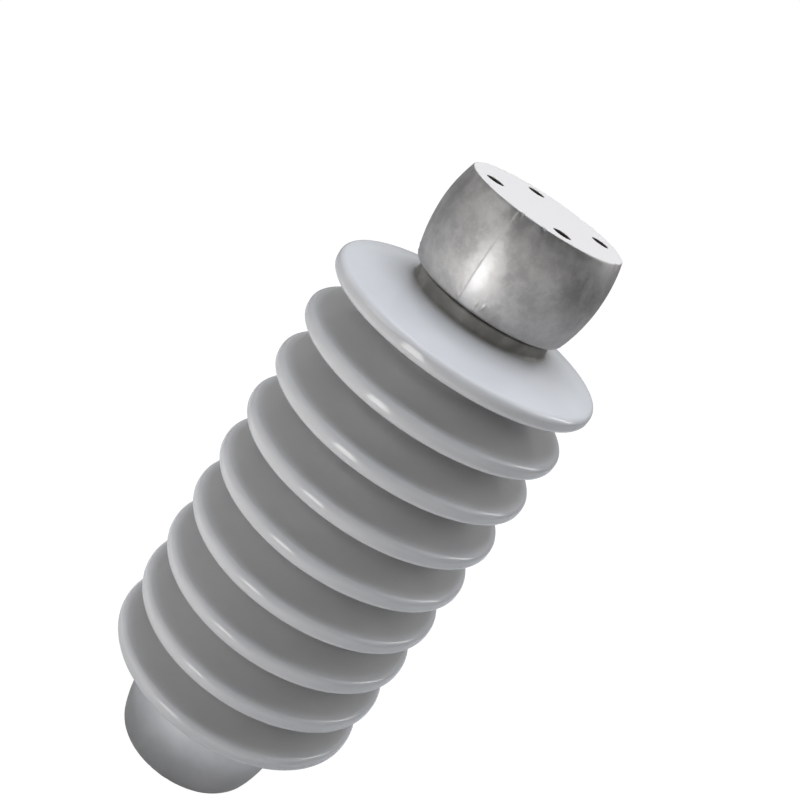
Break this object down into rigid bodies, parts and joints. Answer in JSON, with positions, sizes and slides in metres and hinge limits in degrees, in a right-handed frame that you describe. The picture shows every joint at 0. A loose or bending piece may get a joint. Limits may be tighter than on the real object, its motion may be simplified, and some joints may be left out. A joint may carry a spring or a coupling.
{
  "type": "station post insulator",
  "caption": "Cemented porcelain station-post insulator: a solid grey-glazed body with sheds between two barrel-shaped iron end caps with tapped mounting holes.",
  "frame": {"origin": "centre of the bottom cap's flat mounting face", "axes": "+Z along the insulator's axis, from the bottom cap to the top cap; the tapped holes lie on +X, +Y, -X and -Y"},
  "size_m": [0.1844, 0.1844, 0.4572],
  "materials": {
    "grey_glaze": "gloss",
    "galvanised_iron": "satin",
    "cement": "matte",
    "bitumen": "satin",
    "cork": "matte",
    "grit": "matte",
    "joint_seal": "satin"
  },
  "bodies": {
    "root": {"porcelain_body": "grey_glaze", "top_cap": "galvanised_iron", "top_joint_seal": "joint_seal", "top_cap_bitumen_lining": "bitumen", "top_cork_cushion": "cork", "top_grit_band": "grit", "top_porcelain_bitumen_coat": "bitumen", "top_cement": "cement", "bottom_cap": "galvanised_iron", "bottom_joint_seal": "joint_seal", "bottom_cap_bitumen_lining": "bitumen", "bottom_cork_cushion": "cork", "bottom_grit_band": "grit", "bottom_porcelain_bitumen_coat": "bitumen", "bottom_cement": "cement"}
  },
  "joints": []
}
